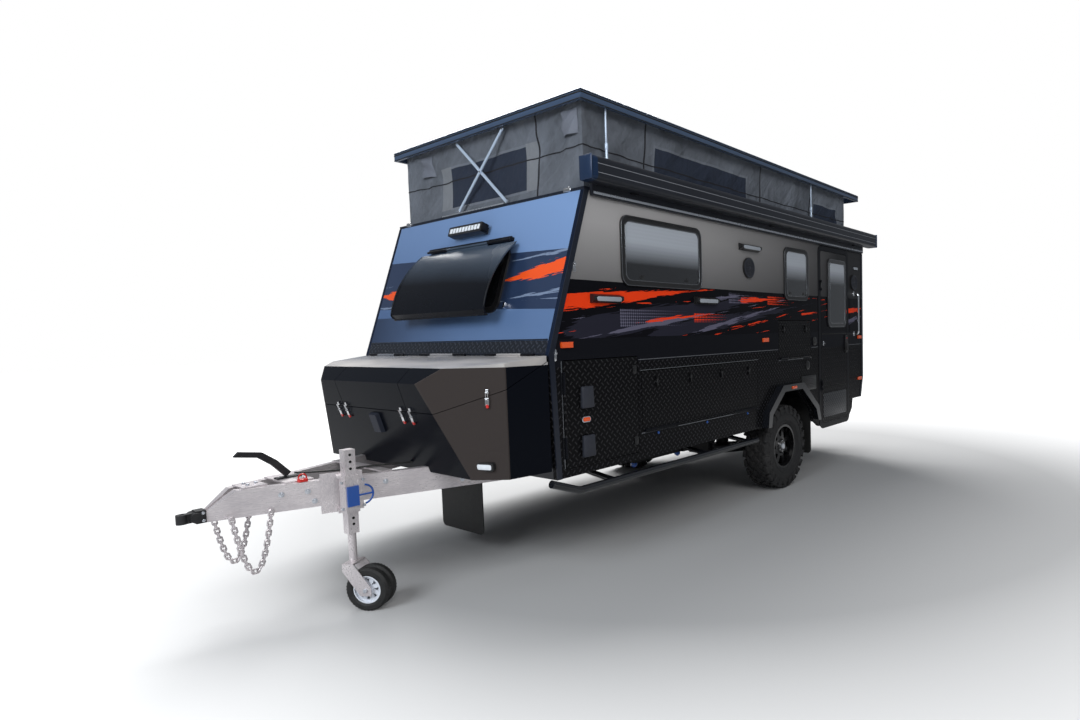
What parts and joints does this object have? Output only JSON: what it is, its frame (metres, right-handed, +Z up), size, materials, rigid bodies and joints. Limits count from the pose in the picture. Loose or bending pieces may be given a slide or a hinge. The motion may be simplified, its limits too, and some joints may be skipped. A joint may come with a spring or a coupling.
{
  "type": "off-road touring caravan with pop-top roof",
  "caption": "Single-axle off-road touring caravan with a raised pop-top roof, front toolbox, drawbar and jockey wheel, with opening door, hatches, lids and stone guard.",
  "frame": {"origin": "on the ground below the middle of the overall length, on the middle plane of the body", "axes": "+X forward to the coupling, +Y to the caravan's left (door and awning side), +Z up"},
  "size_m": [6.827, 2.407, 3.254],
  "materials": {
    "black_panel": "gloss",
    "blue_panel": "gloss",
    "black_checker": "satin",
    "black_steel": "satin",
    "galvanised": "galvanised",
    "canvas": "woven",
    "board": "satin",
    "frame_plastic": "satin",
    "tinted_glass": "polished",
    "roof": "gloss",
    "roof_unit": "satin",
    "strut": "satin",
    "blue_plastic": "satin",
    "chrome": "polished",
    "rubber": "matte",
    "tyre": "matte",
    "black_rim": "satin",
    "white_rim": "gloss",
    "lens": "gloss",
    "tank": "satin",
    "coupling_black": "satin"
  },
  "bodies": {
    "caravan": {"arch_flares": "black_checker", "awning": "frame_plastic", "canvas": "canvas", "chassis_rails": "black_steel", "coupling": "coupling_black", "crossmembers": "black_steel", "door_frame": "black_steel", "drawbar_left": "galvanised", "drawbar_right": "galvanised", "floor": "board", "grab_handle": "chrome", "hatch_hinges": "black_checker", "jockey_handle": "blue_plastic", "jockey_post": "galvanised", "lamps": "frame_plastic", "lockers": "board", "marker_lamps": "lens", "mouldings": "frame_plastic", "mud_flaps": "rubber", "rear_bumper": "black_steel", "safety_chains": "galvanised", "side_poles": "strut", "side_rails": "black_steel", "spare_wheel": "tyre", "steadies": "black_steel", "strut_feet": "strut", "suspension": "black_steel", "toolbox": "black_steel", "toolbox_latches": "chrome", "top_frame": "strut", "wall_front": "blue_panel", "wall_left": "black_panel", "wall_rear": "black_panel", "wall_right": "black_panel", "water_tanks": "tank", "window_frames": "frame_plastic", "window_panes": "tinted_glass"},
    "pop_top": {"roof_shell": "roof", "roof_units": "roof_unit"},
    "strut_front_a": {"strut_front_a": "strut"},
    "strut_front_b": {"strut_front_b": "strut"},
    "strut_rear_a": {"strut_rear_a": "strut"},
    "strut_rear_b": {"strut_rear_b": "strut"},
    "entry_door": {"door_leaf": "black_panel", "door_window": "frame_plastic"},
    "tunnel_door_left": {"tunnel_door_left": "black_checker"},
    "tunnel_door_right": {"tunnel_door_right": "black_checker"},
    "locker_hatch": {"locker_hatch": "black_checker"},
    "table_hatch": {"table_hatch": "black_checker"},
    "stone_guard": {"stone_guard": "black_panel"},
    "lid_left": {"lid_left": "black_steel"},
    "lid_middle": {"lid_middle": "black_steel"},
    "lid_right": {"lid_right": "black_steel"},
    "jockey_fork": {"jockey_fork": "galvanised"},
    "jockey_wheels": {"jockey_tyres": "rubber", "jockey_rims": "white_rim"},
    "wheel_left": {"tyre_left": "tyre", "rim_left": "black_rim"},
    "wheel_right": {"tyre_right": "tyre", "rim_right": "black_rim"}
  },
  "joints": [
    {"name": "roof_slide", "type": "slide", "parent": "caravan", "child": "pop_top", "axis": [0, 0, 1], "range_m": [-0.48, 0], "deforming": ["canvas", "side_poles"]},
    {"name": "strut_front_swing", "type": "hinge", "parent": "caravan", "child": "strut_front_a", "pos_m": [1.4445, 0.28, 2.518], "axis": [1, 0, 0], "range_deg": [0, 40.46]},
    {"name": "strut_front_cross", "type": "hinge", "parent": "strut_front_a", "child": "strut_front_b", "pos_m": [1.4445, 0, 2.77], "axis": [1, 0, 0], "range_deg": [-80.92, 0]},
    {"name": "strut_rear_swing", "type": "hinge", "parent": "caravan", "child": "strut_rear_a", "pos_m": [-2.7275, 0.28, 2.518], "axis": [1, 0, 0], "range_deg": [0, 40.46]},
    {"name": "strut_rear_cross", "type": "hinge", "parent": "strut_rear_a", "child": "strut_rear_b", "pos_m": [-2.7275, 0, 2.77], "axis": [1, 0, 0], "range_deg": [-80.92, 0]},
    {"name": "door_hinge", "type": "hinge", "parent": "caravan", "child": "entry_door", "pos_m": [-1.934, 1.112, 1.4625], "axis": [0, 0, -1], "range_deg": [0, 110]},
    {"name": "tunnel_hinge_left", "type": "hinge", "parent": "caravan", "child": "tunnel_door_left", "pos_m": [1.711, 1.108, 1.0525], "axis": [0, 0, -1], "range_deg": [0, 100]},
    {"name": "tunnel_hinge_right", "type": "hinge", "parent": "caravan", "child": "tunnel_door_right", "pos_m": [1.711, -1.108, 1.0525], "axis": [0, 0, 1], "range_deg": [0, 100]},
    {"name": "locker_fold", "type": "hinge", "parent": "caravan", "child": "locker_hatch", "pos_m": [0.1835, 1.108, 0.8595], "axis": [-1, 0, 0], "range_deg": [0, 90]},
    {"name": "table_fold", "type": "hinge", "parent": "caravan", "child": "table_hatch", "pos_m": [-1.3565, 1.108, 1.2795], "axis": [-1, 0, 0], "range_deg": [0, 90]},
    {"name": "guard_hinge", "type": "hinge", "parent": "caravan", "child": "stone_guard", "pos_m": [1.59909, 0, 2.21133], "axis": [0, -1, 0], "range_deg": [0, 60]},
    {"name": "lid_left_hinge", "type": "hinge", "parent": "caravan", "child": "lid_left", "pos_m": [1.8425, 0.74875, 1.4362], "axis": [0, -1, 0], "range_deg": [0, 60]},
    {"name": "lid_middle_hinge", "type": "hinge", "parent": "caravan", "child": "lid_middle", "pos_m": [1.8425, 0, 1.4362], "axis": [0, -1, 0], "range_deg": [0, 60]},
    {"name": "lid_right_hinge", "type": "hinge", "parent": "caravan", "child": "lid_right", "pos_m": [1.8425, -0.74875, 1.4362], "axis": [0, -1, 0], "range_deg": [0, 60]},
    {"name": "jockey_swivel", "type": "hinge", "parent": "caravan", "child": "jockey_fork", "pos_m": [2.6885, 0.345, 0.28], "axis": [0, 0, 1], "continuous": true},
    {"name": "jockey_roll", "type": "hinge", "parent": "jockey_fork", "child": "jockey_wheels", "pos_m": [2.63331, 0.42839, 0.125], "axis": [0.8339, 0.5519, 0], "continuous": true},
    {"name": "wheel_left_roll", "type": "hinge", "parent": "caravan", "child": "wheel_left", "pos_m": [-1.1715, 0.9505, 0.41], "axis": [0, 1, 0], "continuous": true},
    {"name": "wheel_right_roll", "type": "hinge", "parent": "caravan", "child": "wheel_right", "pos_m": [-1.1715, -0.9505, 0.41], "axis": [0, 1, 0], "continuous": true}
  ],
  "couplings": [
    {"joint": "strut_front_swing", "follows": "roof_slide", "rad_per_m": -1.4603},
    {"joint": "strut_front_cross", "follows": "roof_slide", "rad_per_m": 2.9206},
    {"joint": "strut_rear_swing", "follows": "roof_slide", "rad_per_m": -1.4603},
    {"joint": "strut_rear_cross", "follows": "roof_slide", "rad_per_m": 2.9206}
  ]
}
